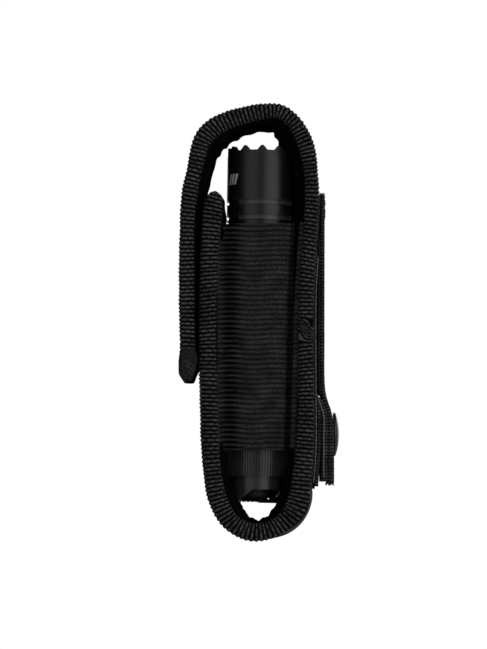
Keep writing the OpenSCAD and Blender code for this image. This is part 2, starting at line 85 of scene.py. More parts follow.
# The middle of the strap: x, z and half thickness, from the front panel's top, round the bend,
# up the back, over the head and down the flap. It is the same route as the CAD strap's.
STRAP = [
    (FRONT_X + 2.8, FRONT_TOP_Z, 2.6), (FRONT_X + 1.7, FRONT_TOP_Z - 8, 3.6),
    (FRONT_X + 0.8, 20, 3.5), (FRONT_X, 0, 3.2), (FRONT_X - 0.1, -20, 3.3),
    (FRONT_X + 0.3, -40, 3.4), (FRONT_X + 1, -60, 3.4), (FRONT_X + 3.2, BEND_Z + 14.3, 3.5),
    (BEND_X - 11.2, BEND_Z + 5.3, 3.4), (BEND_X - 5.3, BEND_Z + 1, 3.4),
    (BEND_X + 1.2, BEND_Z, 3.3), (BEND_X + 7.7, BEND_Z + 2.3, 3.3),
    (BACK_X - 5.5, BEND_Z + 7.3, 3.8), (BACK_X - 2.8, BEND_Z + 13.3, 3.9),
    (BACK_X - 1.6, BEND_Z + 21.3, 3.6), (BACK_X - 0.6, -55, 3.4), (BACK_X - 0.1, -38, 2.9),
    (BACK_X, 0, 2.8), (BACK_X + 1.2, 19, 2.6), (BACK_X + 2.4, 41, 2.5),
    (BACK_X + 1.9, 50, 2.6), (BACK_X + 0.7, FOLD_Z, 3), (BACK_X - 1.6, FOLD_Z + 6, 2.9),
    (BACK_X - 4.9, ROOF_Z - 3.8, 2.8), (BACK_X - 10.3, ROOF_Z, 2.7),
    (BEND_X + 1.7, ROOF_Z - 0.1, 2.8), (BEND_X - 5.3, ROOF_Z - 1.6, 3.1),
    (BEND_X - 10.8, ROOF_Z - 3.3, 3.3), (BEND_X - 16.8, ROOF_Z - 6.3, 3.5),
    (FLAP_X + 5.6, ROOF_Z - 12, 3.3), (FLAP_X + 3.1, ROOF_Z - 22, 2.9),
    (FLAP_X + 1.3, 42, 2.9), (FLAP_X + 0.2, 30, 2.8), (FLAP_X, 7, 2.9),
    (FLAP_X + 0.3, -15, 2.9), (FLAP_X + 0.8, FLAP_END_Z + 7, 3.8), (FLAP_X + 0.5, FLAP_END_Z, 3.4),
]
FOLD_POINT = 21                         # the STRAP point at the fold line


def smooth(points, steps):
    """The Catmull-Rom curve through points, with `steps` pieces between each two."""
    p = np.array([points[0], *points, points[-1]], float)
    t = np.linspace(0, 1, steps, endpoint=False)[:, None]
    out = []
    for a, b, c, d in zip(p, p[1:], p[2:], p[3:]):
        out.append(0.5 * (2 * b + (c - a) * t + (2 * a - 5 * b + 4 * c - d) * t**2
                          + (3 * b - a - 3 * c + d) * t**3))
    return np.vstack([*out, p[-1:]])


class Route:
    """A smooth route in X and Z with a half thickness, read by distance along it."""

    def __init__(self, points, steps=40):
        p = smooth(points, steps)
        self.s = np.concatenate([[0], np.cumsum(np.hypot(*np.diff(p[:, :2], axis=0).T))])
        self.p, self.steps = p, steps
        d = np.gradient(p[:, :2], axis=0)
        d /= np.linalg.norm(d, axis=1)[:, None]
        self.n = np.stack([d[:, 1], -d[:, 0]], axis=1)

    def at(self, s):
        """x, z, half thickness, and the outward direction's x and z, at distances s."""
        columns = [*self.p.T, *self.n.T]
        return [np.interp(s, self.s, c) for c in columns]

    def mark(self, i):
        return self.s[int(i * self.steps)]

    @property
    def length(self):
        return self.s[-1]


strap = Route(STRAP)
FOLD_S = strap.mark(FOLD_POINT)
FOLD_HALF = 6.2                         # half the length of strap that bends at the fold

# --- mesh helpers -----------------------------------------------------------------------------


def mesh_piece(name, vertices, faces, uvs=None, smooth_faces=True):
    """A new object from vertices in millimetres; uvs holds one pair for each face corner."""
    mesh = bpy.data.meshes.new(name)
    mesh.from_pydata((np.asarray(vertices) * MM).tolist(), [], faces)
    if uvs is not None:
        mesh.uv_layers.new(name="weave").data.foreach_set("uv", np.asarray(uvs, float).ravel())
    mesh.polygons.foreach_set("use_smooth", [smooth_faces] * len(faces))
    mesh.update()
    piece = bpy.data.objects.new(name, mesh)
    scene.collection.objects.link(piece)
    return piece


def loft(name, rings, along=None, across=None):
    """A closed solid through rings, an array of ring x point x 3.

    Its UVs, in millimetres, are `across` round each ring and `along` from ring to ring.
    """
    rings = np.asarray(rings, float)
    n, m = rings.shape[:2]
    along = np.arange(n, dtype=float) if along is None else np.asarray(along, float)
    across = np.arange(m, dtype=float) if across is None else np.asarray(across, float)
    i, j = np.meshgrid(np.arange(n - 1), np.arange(m), indexing="ij")
    i, j = i.ravel(), j.ravel()
    k = (j + 1) % m
    quads = np.stack([i * m + j, i * m + k, (i + 1) * m + k, (i + 1) * m + j], axis=1)
    if along.ndim == 1:
        along = np.broadcast_to(along[:, None], (n, m))
    step = np.append(across, across[-1] + np.linalg.norm(rings[0, 0] - rings[0, -1]))
    uvs = np.stack([step[j], along[i, j], step[j + 1], along[i, k],
                    step[j + 1], along[i + 1, k], step[j], along[i + 1, j]], axis=1).reshape(-1, 2)
    caps = [list(range(m))[::-1], list(range((n - 1) * m, n * m))]
    cap_uvs = np.stack([np.tile(across, 2), np.concatenate([along[0], along[-1]])], axis=1)
    piece = mesh_piece(name, rings.reshape(-1, 3), quads.tolist() + caps,
                       np.vstack([uvs, cap_uvs]))
    outward(piece)
    return piece


def outward(piece):
    """Turns a closed mesh's faces so that its volume is positive."""
    mesh = piece.data
    mesh.calc_loop_triangles()
    co = np.empty(len(mesh.vertices) * 3)
    mesh.vertices.foreach_get("co", co)
    co = co.reshape(-1, 3)
    tri = np.array([t.vertices[:] for t in mesh.loop_triangles])
    a, b, c = co[tri[:, 0]], co[tri[:, 1]], co[tri[:, 2]]
    if (a * np.cross(b, c)).sum() < 0:
        mesh.flip_normals()


def paint(piece, material):
    piece.data.materials.clear()
    piece.data.materials.append(material)
    return piece


def capsules(name, starts, ends, radius, sides=6):
    """One mesh of short threads, each from a start to an end, with rounded tips."""
    vertices, faces = [], []
    levels = [(0, 0.35), (0.12, 0.9), (0.5, 1.12), (0.88, 0.9), (1, 0.35)]
    for a, b in zip(np.asarray(starts, float), np.asarray(ends, float)):
        d = (b - a) / np.linalg.norm(b - a)
        u = np.cross(d, [0.3, 1, 0.2])
        u /= np.linalg.norm(u)
        v = np.cross(d, u)
        base = len(vertices)
        for t, r in levels:
            for k in range(sides):
                w = 2 * math.pi * k / sides
                vertices.append(a + (b - a) * t + radius * r * (math.cos(w) * u + math.sin(w) * v))
        for i in range(len(levels) - 1):
            for k in range(sides):
                q = (k + 1) % sides
                faces.append([base + i * sides + k, base + i * sides + q,
                              base + (i + 1) * sides + q, base + (i + 1) * sides + k])
        faces.append([base + k for k in range(sides)][::-1])
        faces.append([base + (len(levels) - 1) * sides + k for k in range(sides)])
    piece = mesh_piece(name, vertices, faces)
    outward(piece)
    return piece


def waves(x, lengths, seed):
    """A gentle, repeatable unevenness along x, between about -1 and 1."""
    phases = np.random.default_rng(seed).uniform(0, 2 * math.pi, len(lengths))
    return sum(np.sin(2 * math.pi * x / w + f) for w, f in zip(lengths, phases)) / len(lengths)


# --- materials --------------------------------------------------------------------------------


class Look:
    """A material and short ways to add nodes to it."""

    def __init__(self, name, colour, roughness=0.5, **values):
        self.material = bpy.data.materials.new(name)
        self.material.use_nodes = True
        self.tree = self.material.node_tree
        self.shader = self.tree.nodes["Principled BSDF"]
        self.shader.inputs["Base Color"].default_value = (*colour, 1)
        self.shader.inputs["Roughness"].default_value = roughness
        for key, value in values.items():
            self.shader.inputs[key.replace("_", " ")].default_value = value

    def node(self, kind, inputs=(), **settings):
        node = self.tree.nodes.new(kind)
        for key, value in settings.items():
            setattr(node, key, value)
        for key, value in dict(inputs).items():
            if isinstance(value, bpy.types.NodeSocket):
                self.tree.links.new(value, node.inputs[key])
            else:
                node.inputs[key].default_value = value
        return node

    def math(self, operation, a, b=0.0):
        return self.node("ShaderNodeMath", {0: a, 1: b}, operation=operation).outputs[0]

    def places(self, weave=True):
        """The u and v of a piece's own weave map, in millimetres, or its object coordinates."""
        if weave:
            vector = self.node("ShaderNodeUVMap", uv_map="weave").outputs[0]
        else:
            vector = self.node("ShaderNodeTexCoord").outputs["Object"]
        return vector, self.node("ShaderNodeSeparateXYZ", {0: vector})

    def wave(self, value, pitch):
        return self.math("SINE", self.math("MULTIPLY", value, 2 * math.pi / pitch))

    def noise(self, vector, scale, detail=3.0):
        return self.node("ShaderNodeTexNoise",
                         {"Vector": vector, "Scale": scale, "Detail": detail}).outputs["Fac"]

    def colour(self, factor, low, high):
        """The base colour goes from low to high with factor."""
        mix = self.node("ShaderNodeMix", data_type="RGBA", blend_type="MIX")
        self.tree.links.new(factor, mix.inputs[0])
        mix.inputs[6].default_value = (*low, 1)
        mix.inputs[7].default_value = (*high, 1)
        self.tree.links.new(mix.outputs[2], self.shader.inputs["Base Color"])

    def roughness(self, factor, low, high):
        span = self.node("ShaderNodeMapRange", {"Value": factor, "To Min": low, "To Max": high})
        self.tree.links.new(span.outputs[0], self.shader.inputs["Roughness"])

    def bump(self, height, distance, strength=1.0):
        bump = self.node("ShaderNodeBump", {"Height": height, "Distance": distance,
                                            "Strength": strength})
        self.tree.links.new(bump.outputs[0], self.shader.inputs["Normal"])


def grey(value):
    return (value * 0.98, value * 1.03, value * 0.98)


def woven(name, dark, light, pitch_u, pitch_v, depth, rough=0.7, shine=0.03, groove=0.0,
          brick=0.0, power=2.0, valley_shade_u=None):
    """Cloth of crossing threads: u and v waves lift by turns, with lint and uneven colour.

    Where groove is given, painted shade darkens the cloth between ribs of that pitch along v,
    and where brick is given, each rib has short breaks of painted shade at that pitch along u,
    staggered from rib to rib.
    Round the u given for the elastic's valley, the grooves are painted darker still: painted shade
    for the valley beside the front binding.
    """
    look = Look(name, grey(light), rough)
    look.shader.inputs["Specular IOR Level"].default_value = shine
    vector, uv = look.places()
    across = look.wave(uv.outputs[0], pitch_u)
    along = look.wave(uv.outputs[1], pitch_v)
    cross = look.math("MULTIPLY", across, along)
    fuzz = look.noise(vector, 2.6, 4.0)
    height = look.math("ADD", look.math("MULTIPLY", cross, 0.5), look.math("MULTIPLY", fuzz, 0.8))
    look.bump(height, depth * MM)
    blotch = look.noise(vector, 0.16, 3.0)
    tone = look.math("ADD", look.math("MULTIPLY", cross, 0.3), look.math("MULTIPLY", blotch, 1.0))
    fleck = look.math("MULTIPLY", look.noise(vector, 1.5, 2.0), 2.0)
    tone = look.math("MULTIPLY", tone, look.math("POWER", fleck, 1.8))
    if groove:
        # painted shade: the cloth darkens between the ribs, where shade falls
        rib = look.math("ABSOLUTE", look.wave(uv.outputs[1], groove * 2))
        if valley_shade_u is not None:
            # painted shade: the grooves darken more round the elastic's valley beside the front
            # binding
            away = look.math("DIVIDE", look.math("SUBTRACT", uv.outputs[0], valley_shade_u), 2.6)
            near = look.math("EXPONENT", look.math("MULTIPLY", look.math("POWER", away, 2.0), -1.0))
            power = look.math("ADD", look.math("MULTIPLY", near, 3.0), power)
        tone = look.math("MULTIPLY", tone, look.math("POWER", rib, power))
    if brick:
        # painted shade in the short breaks between the beads of each rib
        row = look.math("FLOOR", look.math("DIVIDE", uv.outputs[1], groove))
        stagger = look.math("MULTIPLY", look.math("FLOORED_MODULO", row, 2.0), 0.5)
        turn = look.math("ADD", look.math("DIVIDE", uv.outputs[0], brick), stagger)
        gap = look.math("ABSOLUTE", look.wave(turn, 2.0))
        tone = look.math("MULTIPLY", tone, look.math("POWER", gap, 0.4))
    look.colour(tone, grey(dark), grey(light))
    return look.material


def thread_look(name, value):
    look = Look(name, grey(value), 0.7)
    look.shader.inputs["Specular IOR Level"].default_value = 0.1
    vector = look.places(False)[0]
    twist = look.noise(vector, 2400.0, 2.0)
    look.bump(twist, 0.15 * MM)
    look.colour(twist, grey(value * 0.6), grey(value * 1.3))
    return look.material


def anodised(name, dark, light, rough, grain=1500.0):
    """Fine blasted and anodised aluminium: soft sheen, faint mottling."""
    look = Look(name, grey(light), rough)
    look.shader.inputs["Specular IOR Level"].default_value = 0.5
    vector = look.places(False)[0]
    fine = look.noise(vector, grain, 2.0)
    broad = look.noise(vector, 90.0, 4.0)
    look.bump(fine, 0.02 * MM, 0.6)
    look.colour(broad, grey(dark), grey(light))
    look.roughness(broad, rough - 0.05, rough + 0.08)
    return look.material


def plain(name, colour, rough, scale=600.0, spread=0.25, **values):
    """A plain finish with slight mottling, for small and inner pieces."""
    look = Look(name, colour, rough, **values)
    vector = look.places(False)[0]
    mottle = look.noise(vector, scale, 3.0)
    low = tuple(c * (1 - spread) for c in colour)
    high = tuple(min(1, c * (1 + spread)) for c in colour)
    look.colour(mottle, low, high)
    look.roughness(mottle, max(0.02, rough - 0.06), rough + 0.06)
    look.bump(mottle, 0.02 * MM, 0.5)
    return look.material


LOOKS = {
    "nylon_fabric": woven("cordura", 0.006, 0.050, 0.9, 0.9, 0.16),
    "foam": plain("foam", (0.03, 0.03, 0.03), 0.9),
    "lining_fabric": woven("lining", 0.001, 0.006, 0.7, 0.7, 0.10, 0.9, 0.0),
    # the binding's grooves and bead breaks are painted nearly black: painted shade
    "binding_tape": woven("binding", 0.000, 0.175, 0.62, 0.78, 0.10, groove=RIB, brick=2.7,
                          power=3.0),
    "loop_tape": woven("loop_pile", 0.006, 0.030, 0.5, 0.5, 0.30, 0.95),
    "hook_tape": woven("hooks", 0.010, 0.045, 1.1, 1.1, 0.40, 0.5, 0.1),
    # painted shade deepens the elastic's grooves in the valley beside the front binding
    "elastic_web": woven("elastic", 0.001, 0.082, 0.82, 0.95, 0.22, groove=ELASTIC_RIB,
                         power=0.7, valley_shade_u=FRONT_X + 8.5),
    "webbing": woven("webbing", 0.002, 0.110, 1.3, 1.3, 0.18, groove=WEB_RIB, power=1.2),
    "thread": thread_look("thread", 0.07),
    "snap_metal": plain("snap_metal", (0.55, 0.54, 0.52), 0.22, Metallic=1.0),
    "snap_paint": plain("snap_paint", (0.008, 0.008, 0.009), 0.24, Coat_Weight=0.3),
    "bezel_metal": anodised("bezel", 0.004, 0.008, 0.36),
    "anodised_metal": anodised("anodised", 0.006, 0.012, 0.36),
    "lens_glass": plain("lens_glass", (0.9, 0.95, 0.97), 0.05, spread=0.02,
                        Transmission_Weight=1.0, IOR=1.46),
    "seal_rubber": plain("seal_rubber", (0.008, 0.008, 0.008), 0.6),
    "reflector_mirror": plain("reflector", (0.85, 0.86, 0.87), 0.1, spread=0.03, Metallic=1.0),
    "white_plastic": plain("white_plastic", (0.7, 0.68, 0.62), 0.5, spread=0.05),
    "led_phosphor": plain("phosphor", (0.9, 0.68, 0.1), 0.3, spread=0.08),
    "led_copper": plain("copper", (0.6, 0.28, 0.12), 0.35, Metallic=1.0),
    "circuit_board": plain("circuit_board", (0.02, 0.12, 0.04), 0.4),
    "coil_wire": plain("coil_wire", (0.4, 0.18, 0.07), 0.35, Metallic=0.9),
    "brass_ring": plain("brass", (0.6, 0.45, 0.17), 0.35, Metallic=1.0),
    "spring_wire": plain("spring", (0.68, 0.52, 0.24), 0.3, Metallic=1.0),
    "battery_wrap": plain("cell_wrap", (0.04, 0.13, 0.32), 0.35, spread=0.06),
    "battery_steel": plain("cell_steel", (0.6, 0.6, 0.6), 0.3, Metallic=1.0),
    "switch_plastic": plain("switch_plastic", (0.02, 0.02, 0.021), 0.5),
    "boot_rubber": plain("boot_rubber", (0.012, 0.012, 0.013), 0.6, 1800.0),
    "lever_metal": anodised("lever", 0.012, 0.02, 0.34),
}


# The floors of the head's milled slots lie inside this radius and above this height
SLOT_FLOOR_R, SLOT_FOOT_Z = 13.3, 31.2


def slotted_head():
    """The head's finish, with the milled floors of its slots painted a shade paler: painted
    highlight for the light they catch.
    """
    look = Look("head", grey(0.005), 0.36)
    vector, place = look.places(False)
    lean = look.math("MULTIPLY", place.outputs[2], math.tan(LEAN))
    across = look.math("SUBTRACT", look.math("SUBTRACT", place.outputs[0], lean), AXIS_X * MM)
    away = look.math("SQRT", look.math("ADD", look.math("POWER", across, 2.0),
                                       look.math("POWER", place.outputs[1], 2.0)))
    slot_floor_highlight_mask = look.math("MULTIPLY", look.math("LESS_THAN", away, SLOT_FLOOR_R * MM),
                           look.math("GREATER_THAN", place.outputs[2], SLOT_FOOT_Z * MM))
    look.bump(look.noise(vector, 1500.0, 2.0), 0.02 * MM, 0.6)
    # painted highlight: the slot floors are coloured paler than the rest of the head
    look.colour(slot_floor_highlight_mask, grey(0.005), grey(0.05))
    return look.material


for row in frame["record"]["subparts"]:
    mesh = frame["nodes"][row["node"]].data
    mesh.materials.clear()
    mesh.materials.append(LOOKS[row["material_slot"]])
frame["nodes"]["head_housing"].data.materials[0] = slotted_head()
frame["nodes"]["tail_cap"].data.materials[0] = anodised("tail", 0.020, 0.034, 0.28)

# --- the strap --------------------------------------------------------------------------------

# Where each stretch of the strap lies, and the body that it rides on
STRETCHES = {
    "pocket": (0, FOLD_S - FOLD_HALF, "pouch"),
    "fold": (FOLD_S - FOLD_HALF, FOLD_S + FOLD_HALF, None),
    "flap": (FOLD_S + FOLD_HALF, strap.length, "flap"),
}


def carried(piece, body, start=None, end=None):
    """Rides on its body; a stretch that crosses a fold has no body and is left fixed where it lies.
    """
    if body:
        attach(piece, body)
        return
    start = start or strap_point(FOLD_S - FOLD_HALF + 2.4)
    end = end or strap_point(FOLD_S + FOLD_HALF - 2.4)
    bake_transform(piece)


def strap_point(s):
    x, z = strap.at(np.array([s]))[:2]
    return (float(x[0]) * MM, 0, float(z[0]) * MM)


def on_strap(s, offset, y):
    """Points at distances s along the strap, offset outwards, at y; all may be arrays."""
    x, z, _, nx, nz = (c[:, None] for c in strap.at(s))
    y = np.broadcast_to(y, np.broadcast(x, offset).shape)
    return np.stack([x + nx * offset, y, z + nz * offset], axis=2)


def top_round(s):
    """How much of the strap's thickness is left near its rounded top end."""
    return np.sqrt(np.clip(1 - np.clip(1 - s / 3.2, 0, 1) ** 2.6, 0.03, 1))


def tip_cut(s, offset):
    """How far the flap's tip is cut back at its outer and inner corners."""
    left = strap.length - s
    cut = np.where(offset > 0, 1.4 * np.clip(1 - left / 2.6, 0, 1) ** 1.5,
                   1.9 * np.clip(1 - left / 9, 0, 1) ** 1.2)
    return np.sign(offset) * cut * np.clip(np.abs(offset) / 1.5, 0, 1)


def binding_section(half):
    """The tape round one edge: how far out of the strap's middle, and how far in from its edge."""
    corner = 2.4
    lip = np.linspace(BINDING_W, corner, 9)[:-1]
    turn = np.radians(np.linspace(-90, 90, 21))
    bend = 0.72
    edge_in = corner * (1 - np.sign(np.cos(turn)) * np.abs(np.cos(turn)) ** bend)
    edge_out = np.sign(np.sin(turn)) * np.abs(np.sin(turn)) ** bend
    out = np.concatenate([-np.ones(8), edge_out, np.ones(8)])
    depth = np.concatenate([lip, edge_in, lip[::-1]])
    slope = 0.45 * np.clip((depth - corner) / (BINDING_W - corner), 0, 1) ** 2
    offset = np.sign(out) * (np.abs(out) * half[:, None] - slope)
    return offset, np.broadcast_to(depth, offset.shape)


def binding(side, name, s0, s1, body):
    """Ribbed tape folded over one edge; its ribs fan out round the bends and lean a little."""
    s = np.arange(s0, s1 + 0.13, 0.26)
    s[-1] = s1
    half = strap.at(s)[2] + 0.18 * waves(s, (23, 41, 11), 3 if side < 0 else 5)
    offset, depth = binding_section(half)
    depth = depth + 0.22 * waves(s, (31, 17, 9), 8 + side)[:, None]
    d_out = np.gradient(offset, axis=1)
    d_in = np.gradient(depth, axis=1)
    size = np.hypot(d_out, d_in)
    normal_out, normal_in = d_in / size, -d_out / size
    flip = np.sign(normal_out[:, :1] * offset[:, :1] + 1e-9)
    across = np.cumsum(size, axis=1)
    mid = across - across[:, -1:] / 2
    lean = 0.10 * waves(s, (90, 150, 61), 21 + side)[:, None]
    phase = s[:, None] / RIB + lean * mid + 0.12 * waves(s, (7, 13, 29), 40)[:, None]
    join = np.exp(-((s[:, None] - at_height(strap, -12)) / 3.2) ** 2) * (side < 0)
    phase = phase + join * (0.5 * mid + 1.1 * np.sin(mid * 0.8))
    rib = np.abs(np.sin(math.pi * phase)) ** 0.75
    parity = np.floor(phase) % 2
    bead = np.abs(np.sin(math.pi * (mid / 2.7 + parity / 2))) ** 0.5
    seam_row = np.abs(depth - (BINDING_W - 1.3)) < 0.45
    height = 0.6 * rib * (0.65 + 0.35 * bead) - 0.38 - 0.25 * seam_row + 0.35 * join
    tip = np.clip((s[:, None] - strap.length + 12) / 4, 0, 1)
    twill = (s[:, None] + 0.9 * mid) / 1.15
    phase = phase * (1 - tip) + twill * tip * RIB / 1.15
    height = height * (1 - tip) + tip * (0.3 * np.abs(np.sin(math.pi * twill)) - 0.2)
    height = height * np.clip((strap.length - s) / 2.5, 0, 1)[:, None]
    offset = offset + flip * normal_out * height
    depth = depth + flip * normal_in * height
    offset = (offset - tip_cut(s[:, None], offset)) * top_round(s)[:, None]
    y = side * (HALF_W - 0.15 - depth)
    back_out = np.stack([half - 1.7, -half + 1.7], axis=1) * top_round(s)[:, None]
    back_y = side * np.full((len(s), 2), HALF_W - BINDING_W + 0.1)
    rings = on_strap(s, np.hstack([offset, back_out]), np.hstack([y, back_y]))
    ribs = np.hstack([phase, phase[:, -1:], phase[:, :1]]) * RIB
    step = across[0].tolist()
    piece = loft(f"binding_{name}_{side_name(side)}", rings, ribs,
                 step + [step[-1] + 2, step[-1] + 4])
    paint(piece, LOOKS["binding_tape"])
    carried(piece, body)
    return piece


def at_height(route, z, back=True):
    """The distance along a route at which it passes height z, on the belt side."""
    zs, xs = route.p[:, 1], route.p[:, 0]
    use = (xs > BACK_X - 8) & (np.arange(len(zs)) < len(zs) * (0.66 if back else 1.01))
    return float(route.s[np.where(use)[0][np.argmin(np.abs(zs[use] - z))]])


def side_name(side):
    return "near" if side < 0 else "far"


# How far the lining and its padding bulge into the pouch, at points along the strap
BULGE = [(0, 0.3), (1, 1.7), (2, 2.1), (3, 1.6), (5, 1.6), (6, 3.0), (7, 3.2), (7.6, 3.5),
         (8, 4.0), (9, 1.8), (10, 0.4), (11, 1.8), (12, 3.2), (13, 3.7), (14, 3.4), (15, 1.9),
         (17, 1.6), (18, 3.5), (19, 3.8), (20, 3.8), (21, 3.7), (22, 5.0), (23, 4.6), (24, 2.6),
         (25, 1.4), (26, 1.2), (27, 1.9), (28, 3.0), (29, 3.5), (30, 3.5), (31, 3.4), (32, 2.9),
         (33, 2.3), (34, 2.2), (35, 1.4), (36, 0.6)]


def bulge(s):
    marks = [strap.mark(i) for i, _ in BULGE]
    wide = np.interp(s[:, None] + np.linspace(-3, 3, 7), marks, [b for _, b in BULGE])
    return wide.mean(axis=1)[:, None]


def panel(name, s0, s1, body, face):
    """The padded fabric between the bindings, on the outer (1) or inner (-1) face."""
    s = np.arange(s0, s1 + 0.4, 0.8)
    s[-1] = s1
    half = strap.at(s)[2][:, None]
    reach = HALF_W - BINDING_W + 1.6
    y = np.linspace(-reach, reach, 49)[None, :]
    edge = 1 - np.abs(y) / reach
    crown = 0.75 * np.clip(edge * 6, 0, 1) ** 0.5
    if face > 0:
        lift = crown + 0.2 * waves(s, (37, 59, 19), 12)[:, None] * np.clip(edge * 3, 0, 1)
        # the shell's own edge shows outside the binding round the lower back corner
        corner = np.exp(-((s[:, None] - strap.mark(12.2)) / 11) ** 4)
        lift = lift - 1.0 + 1.8 * corner * np.clip(edge * 9, 0, 1)
    else:
        # the lining gathers into puckers beside the binding, deeper round the bends
        turn = np.abs(np.gradient(np.unwrap(np.arctan2(*strap.at(s)[3:])), s))[:, None]
        depth = 0.45 + 10 * np.clip(turn, 0, 0.06)
        pucker = 0.5 + 0.5 * np.sin(2 * math.pi * s[:, None] / 6.8
                                    + 1.4 * waves(s, (33, 57), 14)[:, None] + 0.8 * np.sign(y))
        near_edge = np.exp(-((np.abs(y) - reach + 2.6) / 2.2) ** 2)
        lift = crown - 0.9 + depth * (0.2 + 0.9 * pucker) * near_edge
        # it bulges most beside the bindings, and lies flatter down the middle
        side_hump = 0.5 + 0.5 * np.exp(-((np.abs(y) - 9.6) / 3.2) ** 2)
        lift = lift + bulge(s) * side_hump * np.clip(edge * 5, 0, 1) ** 0.6
    top = half + lift
    bottom = np.broadcast_to(half - 2.2, top.shape)
    offset = face * np.hstack([top, bottom[:, ::-1]])
    offset = (offset - 1.3 * tip_cut(s[:, None], offset)) * top_round(s)[:, None]
    ys = np.hstack([y, y[:, ::-1]])
    across = np.concatenate([y[0], y[0][-1] + np.arange(1, 50) * 0.5]).tolist()
    slot = "nylon_fabric" if face > 0 else "lining_fabric"
    piece = loft(f"{'shell' if face > 0 else 'lining'}_{name}", on_strap(s, offset, ys), s, across)
    paint(piece, LOOKS[slot])
    carried(piece, body)
    return piece


def stitches(name, s0, s1, body, side, face, inset=1.3, pitch=3.1, long=2.2):
    """A row of stitches through the binding, on one face and one side."""
    start = np.arange(s0 + 0.8, s1 - long, pitch)

    def spot(s):
        half = strap.at(s)[2][:, None]
        offset = face * (half - 0.32)
        return on_strap(s, offset, side * (HALF_W - BINDING_W + inset))[:, 0]

    piece = capsules(f"stitches_{name}_{side_name(side)}_{'out' if face > 0 else 'in'}",
                     spot(start), spot(start + long), 0.26)
    paint(piece, LOOKS["thread"])
    carried(piece, body)


TOP_GAP, TIP_GAP = 4, 12                # no stitches show on the rounded top and the cut tip
made = {}
for name, (s0, s1, body) in STRETCHES.items():
    for side in (-1, 1):
        made[f"binding_{name}", side] = binding(side, name, s0, s1, body)
        for face in (-1, 1):
            stitches(name, s0 + TOP_GAP * (name == "pocket"), s1 - TIP_GAP * (name == "flap"),
                     body, side, face)
    made[f"shell_{name}"] = panel(name, s0, s1, body, 1)
    made[f"lining_{name}"] = panel(name, s0, s1, body, -1)
for part in ("pocket", "flap"):
    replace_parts(made[f"shell_{part}"], f"{part}_shell", f"{part}_foam")
    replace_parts(made[f"lining_{part}"], f"{part}_lining")
    for side in (-1, 1):
        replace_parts(made[f"binding_{part}", side], f"{part}_binding_{side_name(side)}")

# --- elastic sides ----------------------------------------------------------------------------

elastic_low, elastic_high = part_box("elastic_near")
ELASTIC_BOTTOM, ELASTIC_TOP = elastic_low[2] / MM, elastic_high[2] / MM
ELASTIC = [
    (FRONT_X + 3.6, 3.0), (FRONT_X + 4.6, 5.4), (FRONT_X + 6.2, 6.8), (FRONT_X + 8.2, 6.2),
    (FRONT_X + 10.6, 4.8), (FRONT_X + 14, 3.8), (BEND_X + 1, 3.3), (BACK_X - 11, 3.6),
    (BACK_X - 8.6, 4.2), (BACK_X - 7.5, 5.2), (BACK_X - 6.6, 8.0), (BACK_X - 4.0, 8.4),
]


def elastic_shift(z):
    """The back edge of the elastic leans towards the wearer at its top."""
    return 2.6 * np.clip((z + 20) / 50, 0, 1) ** 1.5 - 1.2 * np.clip((-20 - z) / 38, 0, 1)


def elastic_panel(side):
    z = np.arange(ELASTIC_BOTTOM, ELASTIC_TOP, 0.24)
    line = smooth(ELASTIC, 12)
    x, inset = line[:, 0], line[:, 1]
    share = (x - x[0]) / (x[-1] - x[0])
    xs = x[None, :] + elastic_shift(z)[:, None] * share[None, :] ** 2
    phase = z[:, None] / ELASTIC_RIB + 0.10 * waves(x, (16, 27), 31)[None, :] * 2
    rib = np.abs(np.sin(math.pi * phase)) ** 0.8
    thread = np.abs(np.sin(math.pi * (x[None, :] / 0.95 + np.floor(phase) % 2 / 2)))
    soft = 0.25 * waves(z, (37, 61), 33)[:, None] * np.sin(math.pi * share)[None, :]
    hem = 0.25 * (np.abs(z - ELASTIC_TOP + 3.4) < 0.5)[:, None]
    gathered = 0.32 + 0.4 * np.exp(-((x - FRONT_X - 8.5) / 2.6) ** 2)[None, :]
    lift = gathered * rib * (0.7 + 0.3 * thread) + soft - hem
    outer = side * (HALF_W - inset[None, :] + lift)
    inner = side * (HALF_W - inset[None, :] - 0.7 + np.zeros_like(xs))
    zs = np.broadcast_to(z[:, None], xs.shape)
    front = np.stack([xs, outer, zs], axis=2)
    back = np.stack([xs, inner, zs], axis=2)[:, ::-1]
    across = np.concatenate([x, x[-1] + np.arange(1, len(x) + 1) * 0.5])
    ribs = np.hstack([phase, phase[:, ::-1]]) * ELASTIC_RIB
    piece = loft(f"elastic_{side_name(side)}", np.concatenate([front, back], axis=1), ribs, across)
    paint(piece, LOOKS["elastic_web"])
    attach(piece, "pouch")
    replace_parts(piece, f"elastic_{side_name(side)}")


def elastic_hem(side):
    """The elastic's doubled end, sewn down beside the back panel's binding."""
    z = np.arange(ELASTIC_BOTTOM + 0.6, ELASTIC_TOP + 0.4, 0.3)
    centre = BACK_X - 3.8 + elastic_shift(z)
    turn = np.radians(np.linspace(0, 360, 20, endpoint=False))
    rib = 0.3 * np.abs(np.sin(math.pi * z / ELASTIC_RIB)) ** 0.8
    wide, deep = 1.25, 0.8
    x = centre[:, None] + wide * np.sign(np.cos(turn)) * np.abs(np.cos(turn)) ** 0.7
    y = HALF_W - 3.7 + (deep + rib[:, None]) * np.sign(np.sin(turn)) * np.abs(np.sin(turn)) ** 0.7
    rings = np.stack([x, side * y, np.broadcast_to(z[:, None], x.shape)], axis=2)
    piece = loft(f"elastic_hem_{side_name(side)}", rings, z, np.linspace(0, 6, 20))
    paint(piece, LOOKS["elastic_web"])
    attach(piece, "pouch")


for side in (-1, 1):
    elastic_panel(side)
    elastic_hem(side)

# --- belt loop --------------------------------------------------------------------------------

